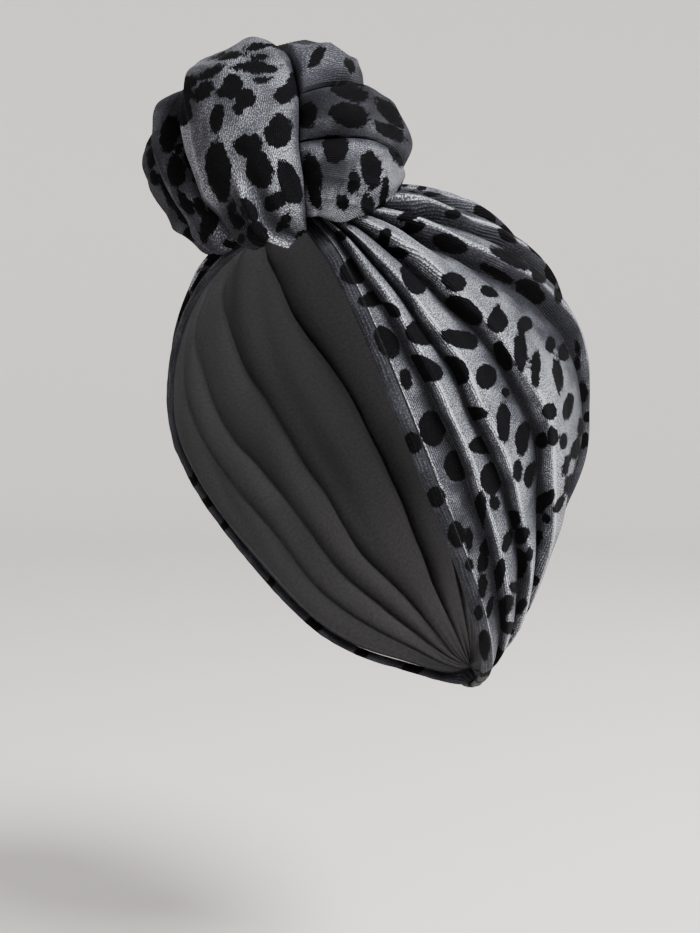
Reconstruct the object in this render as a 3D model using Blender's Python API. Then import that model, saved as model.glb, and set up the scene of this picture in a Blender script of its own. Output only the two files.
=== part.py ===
# Turban headwrap in leopard velvet. A pleated cap fans out from a wound knot over the brow
# to a gathered point at the nape, and a rolled hem runs round the face opening.
# Metres, +Z up, the brow towards -Y and the wearer's left towards +X. The origin is the
# inside top of the crown, where the wrap rests when it is worn.
import math
from collections import namedtuple

import bmesh
import bpy
from mathutils import Vector

# The hollow that the wrap is shaped over
HOLLOW_WIDTH = 0.154
HOLLOW_LENGTH = 0.196
CROWN_HEIGHT = 0.098        # from the widest level up to the crown
NAPE_DEPTH = 0.146          # from the widest level down to where the hollow would close
NAPE_TAPER = 1.5            # exponent of the lower half: 1 is a cone, 2 an ellipsoid
CROWN_ROUNDING = 2.3        # exponent of the upper half: 2 is an ellipsoid, more is fuller
NAPE_HOLLOW = 0.018         # how far the hollow lies in below the back
HOLLOW_START = 0.055        # depth below the widest level where it is fully in

# The cloth and how it is laid
CLOTH_WALL = 0.0021
PLEAT_HEIGHT = 0.0078       # crest over groove in the tallest pleat
FAN_DROP = math.radians(63)     # from level down to the line from the brow to the nape
FAN_HALF = math.radians(120.5)    # from over the crown round to the face opening
KNOT_LIFT = 0.003           # how far the cap stands off the hollow below the knot
LIFT_REACH = math.radians(35)
PLEAT_FADE = (math.radians(7), math.radians(33))    # pleats grow up between these
TAIL_LENGTH = 0.019         # the gathered point below the nape
TAIL_REACH = math.radians(11)
POUCH_DEPTH = 0.004         # slack cloth that hangs over the nape
POUCH_PLACE = math.radians(149)
POUCH_REACH = math.radians(12)
CAP_START = math.radians(4)     # where the gathers end below the knot
CAP_END = math.radians(179.2)   # and at the nape
NAPE_FADE = math.radians(22)    # the pleats die away over this last stretch
CAP_ROWS = 26

# The hem round the face opening
HEM_WIDTH = 0.0055
HEM_THICK = 0.003
HEM_GAP = 0.0004
HEM_STEPS = 34              # sections along each side
HEM_SIDES = 8
HEM_EASE = 0.35             # how much closer the sections lie at the ends

# The knot
KNOT_WIDTH = 0.108
KNOT_HEIGHT = 0.094
KNOT_LEAN = math.radians(28)    # forward of the crown, seen from the hollow's middle
KNOT_STAND = 0.026          # from the hollow to the knot's middle
KNOT_CORE = 0.5             # share of each roll's radius left open in the knot's middle
CREASE_DEPTH = 0.0085
ROLL_GAP = 0.0009           # between two rolls
SEAT_GAP = 0.0007           # between the rolls and the cap
END_ROUNDING = 14           # exponent of a roll's ends, higher is squarer
PINCH_TURN = math.radians(83)   # where the rolls are drawn together, round to the left
PINCH_DROP = math.radians(59)   # and below the knot's middle
CREASE_TURN = math.radians(62)  # the long crease beside the front loop
CREASE_RISE = math.radians(4)

# Angles along the fan, from the knot to the nape, at which a pleat's place is given
STATIONS = {
    "knot": math.radians(4),
    "front": math.radians(30),
    "temple": math.radians(60),
    "middle": math.radians(90),
    "back": math.radians(120),
    "neck": math.radians(150),
    "nape": math.radians(179),
}

# A row for each crest line: its place across the fan at the seven stations, as a share of
# FAN_HALF, and its height as a share of PLEAT_HEIGHT. +1 is the left edge, -1 the right.
Pleat = namedtuple("Pleat", "name knot front temple middle back neck nape height")
PLEATS = (
    Pleat("left edge", 1.0, 0.99, 1.0, 1.0, 0.99, 0.985, 1.0, 0.22),
    Pleat("left temple", 0.945, 0.94, 0.92, 0.91, 0.905, 0.90, 0.88, 0.62),
    Pleat("left ear", 0.89, 0.885, 0.845, 0.825, 0.805, 0.79, 0.76, 0.80),
    Pleat("left side", 0.79, 0.785, 0.72, 0.68, 0.695, 0.68, 0.60, 0.95),
    Pleat("left crown", 0.68, 0.665, 0.485, 0.37, 0.35, 0.38, 0.38, 1.0),
    Pleat("left top", 0.51, 0.505, 0.32, 0.165, 0.135, 0.16, 0.20, 0.95),
    Pleat("middle", 0.28, 0.27, 0.175, -0.01, -0.05, -0.04, 0.02, 0.80),
    Pleat("right top", -0.32, -0.33, -0.28, -0.23, -0.21, -0.20, -0.20, 0.90),
    Pleat("right crown", -0.65, -0.60, -0.53, -0.46, -0.43, -0.42, -0.40, 1.0),
    Pleat("right side", -0.90, -0.84, -0.78, -0.71, -0.68, -0.66, -0.60, 0.95),
    Pleat("right ear", -1.10, -1.02, -0.96, -0.88, -0.82, -0.80, -0.76, 0.80),
    Pleat("right temple", -1.25, -1.14, -1.08, -0.99, -0.93, -0.91, -0.88, 0.62),
    Pleat("right edge", -1.38, -1.25, -1.20, -1.11, -1.045, -1.02, -1.0, 0.22),
)

# The cloth between two crests, seen across: from the lower crest it slopes down to a
# groove, then rises steeply to the crest that is laid over it. Shares of the way across
# and of the lower crest's height.
Step = namedtuple("Step", "across height")
SLOPE = (Step(0.0, 1.0), Step(0.26, 0.84), Step(0.56, 0.42), Step(0.82, 0.0))
SADDLE = (Step(0.0, 1.0), Step(0.25, 0.78), Step(0.5, 0.66), Step(0.75, 0.78))

# The knot's long creases, as turns about the pinch in degrees at each angle from it
Crease = namedtuple("Crease", "away front_start front_end side_end under_end")
CREASES = (
    Crease(7, 10, 125, 160, 200),
    Crease(28, 8, 112, 148, 188),
    Crease(42, 5, 86, 124, 165),
    Crease(56, 3, 73, 101, 138),
    Crease(70, -1, 66, 89, 122),
    Crease(85, -5, 63, 84, 116),
    Crease(98, -8, 61, 82, 114),
    Crease(116, -10, 58, 82, 113),
    Crease(140, -12, 56, 82, 113),
    Crease(172, -14, 56, 84, 116),
)

# The rolls that wind on from the front loop's crease round the back: how far each reaches
# from the pinch in degrees, at each share of the way round
Winding = namedtuple("Winding", "share lower_start lower_top upper_top")
WINDINGS = (
    Winding(0.0, 15, 60, 84),
    Winding(0.12, 15, 62, 94),
    Winding(0.25, 14, 64, 105),
    Winding(0.5, 11, 70, 121),
    Winding(0.75, 8, 77, 132),
    Winding(1.0, 6, 82, 140),
)

# The loops run away from the pinch, each between two of the creases above, and the rolls
# run round it, each between two of the windings' lines. Roundness is an exponent, lower
# is rounder, and swell is how proud each stands, as a share of CREASE_DEPTH.
Loop = namedtuple("Loop", "name columns first last roundness swell")
LOOPS = (
    Loop("knot_front_loop", 14, "front_start", "front_end", 4, 0.0),
    Loop("knot_side_loop", 6, "front_end", "side_end", 2, 0.12),
    Loop("knot_under_loop", 7, "side_end", "under_end", 2, 0.12),
)
Roll = namedtuple("Roll", "name columns bottom top roundness swell")
ROLLS = (
    Roll("knot_lower_roll", 11, "lower_start", "lower_top", 4, 0.0),
    Roll("knot_upper_roll", 7, "lower_top", "upper_top", 3, 0.08),
    Roll("knot_top_tuck", 7, "upper_top", None, 3, 0.35),
)
KNOT_NEAR = 4.0             # degrees from the pinch where the rolls start
KNOT_FAR = 172.0            # and where they end
KNOT_ROWS = 20

# The long crease is shallower over the top of the knot
CREASE_FADE = 0.65          # share of its depth that is lost there
FADE_REACH = (94, 122)      # degrees from the pinch between which it is lost
FADE_WIDTH = 42             # degrees round the pinch, to each side of the crease

# The folded lip across the front loop, as a share of the loop's width
Lip = namedtuple("Lip", "away across height")
LIPS = (Lip(7, 0.42, 0.5), Lip(20, 0.42, 1.0), Lip(43, 0.5, 1.0), Lip(56, 0.55, 0.0))
LIP_HEIGHT = 0.003
LIP_WIDTH = 0.09            # share of the loop's width
FRONT_SAG = 0.006           # how far the front loop hangs over the brow
SAG_PLACE, SAG_REACH = 34, 24       # degrees from the pinch
UNDER_TUCK = 0.012          # how far the under loop is drawn in towards the pinch
TUCK_REACH = (40, 108)      # degrees from the pinch between which it comes out again

HOLLOW_MIDDLE = Vector((0, 0, -CROWN_HEIGHT))


def smooth(low, high, value):
    share = min(1.0, max(0.0, (value - low) / (high - low)))
    return share * share * (3 - 2 * share)


def bump(distance, reach):
    return math.exp(-(distance / reach) ** 2)


def follow(places, values, place):
    """Smooth curve through the values at the given places."""
    place = min(max(place, places[0]), places[-1])
    index = next(i for i in range(1, len(places)) if place <= places[i])
    low, high = index - 1, index
    width = places[high] - places[low]

    def slope(i):
        left, right = max(0, i - 1), min(len(places) - 1, i + 1)
        return (values[right] - values[left]) / (places[right] - places[left])

    share = (place - places[low]) / width
    ease = share * share * (3 - 2 * share)
    start = share * (1 - share) ** 2 * slope(low)
    end = share * share * (share - 1) * slope(high)
    return values[low] * (1 - ease) + values[high] * ease + width * (start + end)


def hollow_level(point):
    """Below 1 inside the hollow, above 1 outside it."""
    across, along, up = point - HOLLOW_MIDDLE
    half_length = HOLLOW_LENGTH / 2
    if up > 0:
        level = (up / CROWN_HEIGHT) ** CROWN_ROUNDING
    else:
        level = (-up / NAPE_DEPTH) ** NAPE_TAPER
        if along > 0:
            half_length -= NAPE_HOLLOW * smooth(0, HOLLOW_START, -up)
    return (2 * across / HOLLOW_WIDTH) ** 2 + (along / half_length) ** 2 + level


def hollow_radius(direction):
    near, far = 0.0, 2 * (HOLLOW_LENGTH + NAPE_DEPTH)
    for _ in range(32):
        middle = (near + far) / 2
        if hollow_level(HOLLOW_MIDDLE + direction * middle) < 1:
            near = middle
        else:
            far = middle
    return near


def fan_direction(along, across):
    """From the hollow's middle: along runs brow to nape, across runs over the crown."""
    nape = Vector((0, math.cos(FAN_DROP), -math.sin(FAN_DROP)))
    crown = Vector((0, math.sin(FAN_DROP), math.cos(FAN_DROP)))
    side = Vector((1, 0, 0))
    ring = crown * math.cos(across) + side * math.sin(across)
    return ring * math.sin(along) - nape * math.cos(along)


def fan_along(direction):
    nape = Vector((0, math.cos(FAN_DROP), -math.sin(FAN_DROP)))
    return math.acos(max(-1.0, min(1.0, -direction.dot(nape))))


def cap_base(direction):
    """Outer face of the cap in its grooves."""
    along = fan_along(direction)
    lift = KNOT_LIFT * bump(along, LIFT_REACH)
    tail = TAIL_LENGTH * bump(math.pi - along, TAIL_REACH)
    return hollow_radius(direction) + CLOTH_WALL + lift + tail


def pleat_growth(along):
    return smooth(*PLEAT_FADE, along) * smooth(0, NAPE_FADE, math.pi - along)


def crest_across(pleat, along):
    shares = [getattr(pleat, station) for station in STATIONS]
    return FAN_HALF * follow(list(STATIONS.values()), shares, along)


def pouch(along, across):
    return POUCH_DEPTH * bump(along - POUCH_PLACE, POUCH_REACH) * bump(across, 4 * POUCH_REACH)


def new_piece(name, mesh, colour, roughness):
    data = bpy.data.meshes.new(name)
    mesh.normal_update()
    mesh.to_mesh(data)
    mesh.free()
    data.shade_smooth()
    data.set_sharp_from_angle(angle=math.radians(50))
    piece = bpy.data.objects.new(name, data)
    bpy.context.scene.collection.objects.link(piece)
    material = bpy.data.materials.new(name + " velvet")
    material.use_nodes = True
    shader = material.node_tree.nodes["Principled BSDF"]
    shader.inputs["Base Color"].default_value = (*colour, 1)
    shader.inputs["Roughness"].default_value = roughness
    shader.inputs["Metallic"].default_value = 0.0
    data.materials.append(material)
    return piece


def padded_sheet(columns, rows, outer, inner):
    """Closed solid between two faces, each a function of column and row."""
    mesh = bmesh.new()
    bmesh.ops.create_grid(mesh, x_segments=columns, y_segments=rows, size=1)
    top = sorted(mesh.verts, key=lambda vert: (round(vert.co.y, 5), round(vert.co.x, 5)))
    places = {vert: divmod(i, columns + 1) for i, vert in enumerate(top)}
    rim = [edge for edge in mesh.edges if edge.is_boundary]
    copy = bmesh.ops.duplicate(mesh, geom=mesh.verts[:] + mesh.edges[:] + mesh.faces[:])
    under = {vert: copy["vert_map"][vert] for vert in top}
    under_rim = [copy["edge_map"][edge] for edge in rim]
    under_faces = [item for item in copy["geom"] if isinstance(item, bmesh.types.BMFace)]
    bmesh.ops.reverse_faces(mesh, faces=under_faces)
    for vert, (row, column) in places.items():
        vert.co = outer(column, row)
        under[vert].co = inner(column, row)
    bmesh.ops.bridge_loops(mesh, edges=rim + under_rim)
    bmesh.ops.recalc_face_normals(mesh, faces=mesh.faces[:])
    bmesh.ops.triangulate(mesh, faces=mesh.faces[:])
    return mesh


def pleat_columns():
    """For each column: its two crest lines, its share of the way across, its height."""
    columns = []
    for first, second in zip(PLEATS, PLEATS[1:]):
        saddle = first.name == "middle"
        on_left = first.middle > 0 or saddle
        low, high = (first, second) if on_left else (second, first)
        profile = SADDLE if saddle else SLOPE
        steps = [(step.across, step.height * low.height) for step in profile]
        steps.append((1.0, high.height))
        if not on_left:
            steps = [(1 - across, height) for across, height in reversed(steps)]
        columns += [(first, second, *step) for step in steps[:-1]]
    columns.append((PLEATS[-2], PLEATS[-1], 1.0, PLEATS[-1].height))
    return columns


def make_cap():
    columns = pleat_columns()

    def place(column, row):
        first, second, share, height = columns[column]
        along = CAP_START + (CAP_END - CAP_START) * row / CAP_ROWS
        start = crest_across(first, along)
        across = start + (crest_across(second, along) - start) * share
        return along, across, height

    def face(column, row, depth):
        along, across, height = place(column, row)
        direction = fan_direction(along, across)
        pleat = PLEAT_HEIGHT * height * pleat_growth(along)
        radius = cap_base(direction) + pleat + pouch(along, across)
        return HOLLOW_MIDDLE + direction * (radius - depth)

    mesh = padded_sheet(
        len(columns) - 1,
        CAP_ROWS,
        lambda column, row: face(column, row, 0),
        lambda column, row: face(column, row, CLOTH_WALL),
    )
    return new_piece("pleated_cap", mesh, (0.30, 0.30, 0.34), 0.5)


def hem_apart():
    return HEM_WIDTH / 2 + HEM_GAP


def opening_middle(along):
    """Half way across the face opening, and half its width, as angles across the fan."""
    left = crest_across(PLEATS[0], along)
    right = crest_across(PLEATS[-1], along) + math.tau
    return (left + right) / 2, (right - left) / 2


def hem_point(along, side):
    """Middle of the hem, beside the cap's left or right edge."""
    middle, half = opening_middle(along)
    edge = middle - side * half
    radius = cap_base(fan_direction(along, edge)) * math.sin(along)
    turn = min(half, math.asin(min(1.0, hem_apart() / radius)))
    direction = fan_direction(along, edge + side * turn)
    height = PLEAT_HEIGHT * PLEATS[0].height * pleat_growth(along)
    return HOLLOW_MIDDLE + direction * (cap_base(direction) + height - HEM_THICK / 2)


def hem_end(along):
    """How far from a pole the left and the right hem meet, as an angle."""
    middle, half = opening_middle(along)
    return math.asin(hem_apart() / math.sin(half) / cap_base(fan_direction(along, middle)))


def make_hem():
    brow = hem_end(CAP_START)
    nape = math.pi - hem_end(CAP_END)
    shares = [i / HEM_STEPS for i in range(HEM_STEPS + 1)]
    eased = [share + HEM_EASE * (smooth(0, 1, share) - share) for share in shares]
    alongs = [brow + (nape - brow) * share for share in eased]
    path = [hem_point(along, 1) for along in alongs]
    path += [hem_point(along, -1) for along in reversed(alongs[1:-1])]
    mesh = bmesh.new()
    rings = []
    for i, middle in enumerate(path):
        ahead = (path[(i + 1) % len(path)] - path[i - 1]).normalized()
        outward = (middle - HOLLOW_MIDDLE).normalized()
        outward = (outward - ahead * outward.dot(ahead)).normalized()
        sideways = ahead.cross(outward)
        ring = []
        for k in range(HEM_SIDES):
            turn = math.tau * (k + 0.5) / HEM_SIDES
            wide = sideways * math.cos(turn) * HEM_WIDTH / 2
            tall = outward * math.sin(turn) * HEM_THICK / 2
            ring.append(mesh.verts.new(middle + wide + tall))
        rings.append([mesh.edges.new((ring[k - 1], ring[k])) for k in range(HEM_SIDES)])
    for i, ring in enumerate(rings):
        bmesh.ops.bridge_loops(mesh, edges=rings[i - 1] + ring)
    bmesh.ops.recalc_face_normals(mesh, faces=mesh.faces[:])
    bmesh.ops.triangulate(mesh, faces=mesh.faces[:])
    return new_piece("face_hem", mesh, (0.28, 0.28, 0.32), 0.5)


def knot_middle():
    direction = Vector((0, -math.sin(KNOT_LEAN), math.cos(KNOT_LEAN)))
    return HOLLOW_MIDDLE + direction * (hollow_radius(direction) + KNOT_STAND)


def turned(turn, rise):
    """Unit vector: turn from the brow towards the wearer's left, rise from level."""
    level = Vector((math.sin(turn), -math.cos(turn), 0))
    return level * math.cos(rise) + Vector((0, 0, math.sin(rise)))


def knot_direction(away, turn):
    """Degrees away from the pinch and round it, from the long crease to the front."""
    pinch = turned(PINCH_TURN, -PINCH_DROP)
    crease = turned(CREASE_TURN, CREASE_RISE)
    start = (crease - pinch * crease.dot(pinch)).normalized()
    across = pinch.cross(start)
    away, turn = math.radians(away), math.radians(turn)
    ring = start * math.cos(turn) + across * math.sin(turn)
    return pinch * math.cos(away) + ring * math.sin(away)


def above_cap(point):
    """True where the point clears the cap's crests."""
    reach = point - HOLLOW_MIDDLE
    direction = reach.normalized()
    crest = PLEAT_HEIGHT * pleat_growth(fan_along(direction))
    return reach.length > cap_base(direction) + crest + SEAT_GAP


def knot_point(middle, direction, depth):
    """Point of the knot's ball, pulled in by depth and kept above the cap."""
    ball = Vector((direction.x * KNOT_WIDTH, direction.y * KNOT_WIDTH, direction.z * KNOT_HEIGHT))
    reach = ball / 2
    reach -= reach.normalized() * depth
    if above_cap(middle + reach):
        return middle + reach
    near, far = 0.0, 1.0
    for _ in range(20):
        share = (near + far) / 2
        if above_cap(middle + reach * share):
            near = share
        else:
            far = share
    return middle + reach * near


def rounded(share, power):
    return abs(2 * share - 1) ** power


def crease_turn(name, away):
    places = [crease.away for crease in CREASES]
    return follow(places, [getattr(crease, name) for crease in CREASES], away)


def half_gap(away):
    """Half the gap between two rolls, in degrees of turn about the pinch."""
    width = KNOT_WIDTH / 2 * math.sin(math.radians(away))
    return math.degrees(ROLL_GAP / 2 / width)


def loop_place(loop, across, length):
    """A loop runs away from the pinch, between two long creases."""
    away = KNOT_NEAR + (KNOT_FAR - KNOT_NEAR) * length
    start = crease_turn(loop.first, away) + half_gap(away)
    end = crease_turn(loop.last, away) - half_gap(away)
    return away, start + (end - start) * across


def winding_away(line, length):
    shares = [winding.share for winding in WINDINGS]
    return follow(shares, [getattr(winding, line) for winding in WINDINGS], length)


def roll_place(roll, across, length):
    """A roll runs round the pinch, from the front loop to behind the under loop."""
    gap = math.degrees(ROLL_GAP / KNOT_HEIGHT)
    low = winding_away(roll.bottom, length) + gap
    high = winding_away(roll.top, length) - gap if roll.top else KNOT_FAR
    away = low + (high - low) * across
    start = crease_turn("front_start", away) - half_gap(away)
    end = crease_turn("under_end", away) + half_gap(away) - 360
    return away, start + (end - start) * length


def front_folds(across, away):
    sag = FRONT_SAG * bump(away - SAG_PLACE, SAG_REACH)
    places = [lip.away for lip in LIPS]
    middle = follow(places, [lip.across for lip in LIPS], away)
    height = follow(places, [lip.height for lip in LIPS], away)
    return sag + LIP_HEIGHT * height * bump(across - middle, LIP_WIDTH)


def under_tuck(across, away):
    return UNDER_TUCK * (smooth(*TUCK_REACH, away) - 1) * smooth(0, 1, across)


FOLDS = {"knot_front_loop": front_folds, "knot_under_loop": under_tuck}


def make_roll(roll, place):
    middle = knot_middle()
    folds = FOLDS.get(roll.name)

    def outer(column, row):
        across, length = column / roll.columns, row / KNOT_ROWS
        away, turn = place(roll, across, length)
        sides = 1 - rounded(across, roll.roundness)
        ends = 1 - rounded(length, END_ROUNDING)
        shallow = 1 - CREASE_FADE * smooth(*FADE_REACH, away) * bump(turn, FADE_WIDTH)
        depth = CREASE_DEPTH * ((1 - sides * ends) * shallow - roll.swell)
        if folds:
            depth -= folds(across, away)
        return knot_point(middle, knot_direction(away, turn), depth)

    def inner(column, row):
        return middle.lerp(outer(column, row), KNOT_CORE)

    mesh = padded_sheet(roll.columns, KNOT_ROWS, outer, inner)
    return new_piece(roll.name, mesh, (0.32, 0.32, 0.36), 0.5)


def make_knot():
    for loop in LOOPS:
        make_roll(loop, loop_place)
    for roll in ROLLS:
        make_roll(roll, roll_place)


def main():
    for old in list(bpy.data.objects):
        bpy.data.objects.remove(old)
    make_cap()
    make_hem()
    make_knot()


main()
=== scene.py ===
# Turban headwrap in silver leopard velvet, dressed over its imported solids
import math
import random

import bmesh
import bpy
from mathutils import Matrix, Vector, noise


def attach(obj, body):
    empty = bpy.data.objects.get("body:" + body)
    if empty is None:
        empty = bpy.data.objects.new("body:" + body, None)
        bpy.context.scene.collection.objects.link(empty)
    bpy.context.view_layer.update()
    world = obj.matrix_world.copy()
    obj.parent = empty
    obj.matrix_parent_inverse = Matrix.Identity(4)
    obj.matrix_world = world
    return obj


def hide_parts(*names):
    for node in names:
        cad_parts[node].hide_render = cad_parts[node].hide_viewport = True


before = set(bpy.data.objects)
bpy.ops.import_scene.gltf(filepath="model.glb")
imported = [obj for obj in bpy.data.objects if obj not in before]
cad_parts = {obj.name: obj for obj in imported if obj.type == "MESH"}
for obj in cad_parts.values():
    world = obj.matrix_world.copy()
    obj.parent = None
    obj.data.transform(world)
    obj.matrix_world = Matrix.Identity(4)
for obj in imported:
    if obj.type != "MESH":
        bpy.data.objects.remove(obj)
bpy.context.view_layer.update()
print("frame loaded with", len(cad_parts), "solids")

# the hollow that the wrap is shaped over; metres, and the middle is the widest level
hollow = {
    "width": 0.154,
    "length": 0.196,
    "crownHeight": 0.098,
    "napeDepth": 0.146,
    "napeTaper": 1.5,       # 1 is a cone, 2 an ellipsoid
    "crownRounding": 2.3,
    "napeHollow": 0.018,    # how far the nape lies in
    "hollowStart": 0.055,
    "searchSteps": 20,
}
middle = Vector((0, 0, -hollow["crownHeight"]))

# the pleated cap; angles in degrees
cap = {
    "wall": 0.0021,
    "pleatHeight": 0.0078,
    "fanDrop": 63,
    "fanHalf": 120.5,
    "knotLift": 0.003,
    "liftReach": 35,
    "pleatFade": (7, 33),
    "napeFade": 22,
    "tailLength": 0.019,
    "tailReach": 11,
    "pouchDepth": 0.004,
    "pouchPlace": 149,
    "pouchReach": 12,
    "pouchWidth": 48,
    "start": 4,
    "end": 179.6,
    "rows": 190,
    "slopeColumns": 12,
    "crestDraw": 1.4,       # above 1 the columns stand closer by the crest
    "foldColumns": 9,
    "foldWidth": 0.0042,    # how wide the rolled edge of each pleat is
    "foldShare": 0.3,       # and at most this share of the panel
    "slopeFall": 1.6,       # exponent of the slope behind a crest, higher stays up for longer
    "crestWander": 0.0014,
    "wanderStart": 20,      # grows no wider nearer to the knot than this
    "wanderSpan": (17, 2.3),    # degrees to a wave, and the step in it from crest to crest
    "crestWaver": 0.16,     # share by which the crests rise and sink on their way
    "waverSpan": (24, 1.7),
    "edgeEase": 8,          # degrees next to the hem that are kept smooth
    "softFold": 0.0012,
    "softSpan": (9, 55),    # degrees to a wave, across and along
    "gatherHeight": 0.0011,
    "gatherSpan": (3.0, 40),
    "gatherReach": (14, 50),
    "napeGather": 0.0008,
    "napeSpan": (6.0, 30),
    "napeReach": (118, 165),
    "drawnEnds": (8, 0.55), # the cloth narrows up to here from its two ends, and by which exponent
    "clothRun": 105,        # millimetres of cloth to a radian from the knot to the nape
    "stripShift": 0.031,    # metres of cloth between the prints of two panels
}

# crest lines from the wearer's left edge (+1) to the right (-1) as shares of the fan's half,
# at these degrees from the knot to the nape; then each crest's height as a share of the pleat
# height, and the painted shine of the panel behind it: painted light, higher on panels that face the light
stations = (4, 30, 60, 90, 120, 150, 179)
pleats = (
    ("left edge", (1.0, 0.99, 1.0, 1.0, 0.99, 0.985, 1.0), 0.22, 0.45),
    ("left temple", (0.945, 0.94, 0.92, 0.91, 0.905, 0.90, 0.88), 0.62, 0.62),
    ("left ear", (0.89, 0.885, 0.845, 0.825, 0.805, 0.79, 0.76), 0.80, 0.66),
    ("left side", (0.79, 0.785, 0.72, 0.68, 0.695, 0.68, 0.60), 0.95, 0.74),
    ("left crown", (0.68, 0.665, 0.485, 0.37, 0.35, 0.38, 0.38), 1.0, 0.5),
    ("left top", (0.51, 0.505, 0.32, 0.165, 0.135, 0.16, 0.20), 0.95, 0.3),
    ("middle", (0.28, 0.27, 0.175, -0.01, -0.05, -0.04, 0.02), 0.80, 0.3),
    ("right top", (-0.32, -0.33, -0.28, -0.23, -0.21, -0.20, -0.20), 0.90, 0.45),
    ("right crown", (-0.65, -0.60, -0.53, -0.46, -0.43, -0.42, -0.40), 1.0, 0.5),
    ("right side", (-0.90, -0.84, -0.78, -0.71, -0.68, -0.66, -0.60), 0.95, 0.5),
    ("right ear", (-1.10, -1.02, -0.96, -0.88, -0.82, -0.80, -0.76), 0.80, 0.5),
    ("right temple", (-1.25, -1.14, -1.08, -0.99, -0.93, -0.91, -0.88), 0.62, 0.5),
    ("right edge", (-1.38, -1.25, -1.20, -1.11, -1.045, -1.02, -1.0), 0.22, 0.5),
)

# the rolled edge of a pleat from the groove up to its crest, as shares of its width and height;
# it never overhangs, so the back of the cloth stays hidden
foldCurve = ((0.0, 0.0), (0.13, 0.1), (0.24, 0.5), (0.42, 0.9), (1.0, 1.0))
# the middle panel sags between two crests
saddleCurve = ((0.0, 1.0), (0.25, 0.78), (0.5, 0.66), (0.75, 0.78), (1.0, 1.0))


def smooth(low, high, value):
    # rises from 0 to 1 between low and high
    share = min(1.0, max(0.0, (value - low) / (high - low)))
    return share * share * (3 - 2 * share)


def bump(distance, reach):
    return math.exp(-(distance / reach) ** 2)


def follow(places, values, place):
    # the value at a place, on a smooth line through the listed ones
    place = min(max(place, places[0]), places[-1])
    high = next(i for i in range(1, len(places)) if place <= places[i])
    low = high - 1
    width = places[high] - places[low]

    def slope(i):
        left, right = max(0, i - 1), min(len(places) - 1, i + 1)
        return (values[right] - values[left]) / (places[right] - places[left])

    share = (place - places[low]) / width
    ease = share * share * (3 - 2 * share)
    start = share * (1 - share) ** 2 * slope(low)
    end = share * share * (share - 1) * slope(high)
    return values[low] * (1 - ease) + values[high] * ease + width * (start + end)


def curvePoint(curve, share):
    spots = [i / (len(curve) - 1) for i in range(len(curve))]
    return tuple(follow(spots, [point[axis] for point in curve], share) for axis in (0, 1))


def ripple(x, y, seed):
    # soft noise between about -1 and 1 that is the same each run
    return 2 * noise.noise(Vector((x, y, seed * 7.31)))


def hollowRadius(direction):
    x, y, z = direction
    near, far = 0.0, 2 * (hollow["length"] + hollow["napeDepth"])
    for _ in range(hollow["searchSteps"]):
        reach = (near + far) / 2
        half, up = hollow["length"] / 2, z * reach
        if up > 0:
            level = (up / hollow["crownHeight"]) ** hollow["crownRounding"]
        else:
            level = (-up / hollow["napeDepth"]) ** hollow["napeTaper"]
            if y > 0:
                half -= hollow["napeHollow"] * smooth(0, hollow["hollowStart"], -up)
        if (2 * x * reach / hollow["width"]) ** 2 + (y * reach / half) ** 2 + level < 1:
            near = reach
        else:
            far = reach
    return near


fanDrop = math.radians(cap["fanDrop"])
napePole = Vector((0, math.cos(fanDrop), -math.sin(fanDrop)))
crownPole = Vector((0, math.sin(fanDrop), math.cos(fanDrop)))


def fanDirection(along, across):
    # degrees from the knot to the nape, and degrees over the crown to the wearer's left
    along, across = math.radians(along), math.radians(across)
    ring = crownPole * math.cos(across) + Vector((math.sin(across), 0, 0))
    return ring * math.sin(along) - napePole * math.cos(along)


def fanAlong(direction):
    return math.degrees(math.acos(max(-1.0, min(1.0, -direction.dot(napePole)))))


def capBase(direction, along):
    lift = cap["knotLift"] * bump(along, cap["liftReach"])
    tail = cap["tailLength"] * bump(180 - along, cap["tailReach"])
    return hollowRadius(direction) + cap["wall"] + lift + tail


def pleatGrowth(along):
    return smooth(*cap["pleatFade"], along) * smooth(0, cap["napeFade"], 180 - along)


def crestAcross(pleat, along):
    return cap["fanHalf"] * follow(stations, pleats[pleat][1], along)


def arcWidth(degrees, along):
    return math.radians(degrees) * hollow["length"] / 2 * math.sin(math.radians(along))


def layCloth(name, columns, rows, faces, chart, marks, finishes, rimFinish):
    # an outer and an inner face joined round their rims; faces gives both points, chart the cloth's
    # own place, and marks how far the next spot of the print is and the painted shine, a painted light
    # and shade level; the inner face takes the second finish, and the rim's is the one that is said
    mesh = bmesh.new()
    bmesh.ops.create_grid(mesh, x_segments=columns, y_segments=rows, size=1)
    top = sorted(mesh.verts, key=lambda vert: (round(vert.co.y, 5), round(vert.co.x, 5)))
    rim = [edge for edge in mesh.edges if edge.is_boundary]
    copy = bmesh.ops.duplicate(mesh, geom=mesh.verts[:] + mesh.edges[:] + mesh.faces[:])
    underRim = [copy["edge_map"][edge] for edge in rim]
    underFaces = [item for item in copy["geom"] if isinstance(item, bmesh.types.BMFace)]
    bmesh.ops.reverse_faces(mesh, faces=underFaces)
    for face in underFaces:
        face.material_index = 1
    places = {}
    for index, vert in enumerate(top):
        row, column = divmod(index, columns + 1)
        under = copy["vert_map"][vert]
        vert.co, under.co = faces(column, row)
        places[vert] = places[under] = (column, row)
    for face in bmesh.ops.bridge_loops(mesh, edges=rim + underRim)["faces"]:
        face.material_index = rimFinish
    bmesh.ops.recalc_face_normals(mesh, faces=mesh.faces[:])
    layer = mesh.loops.layers.uv.new("cloth")
    toSpot = mesh.loops.layers.float.new("toSpot")
    # painted shine: a painted light and shade level at each corner, read by the finish
    paintedShine = mesh.loops.layers.float.new("paintedShine")
    for face in mesh.faces:
        first = min(places[vert][0] for vert in face.verts)
        for loop in face.loops:
            loop[layer].uv = chart(*places[loop.vert], first)
            loop[toSpot], loop[paintedShine] = marks(*places[loop.vert], first)
    return finishPiece(name, mesh, finishes)


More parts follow.
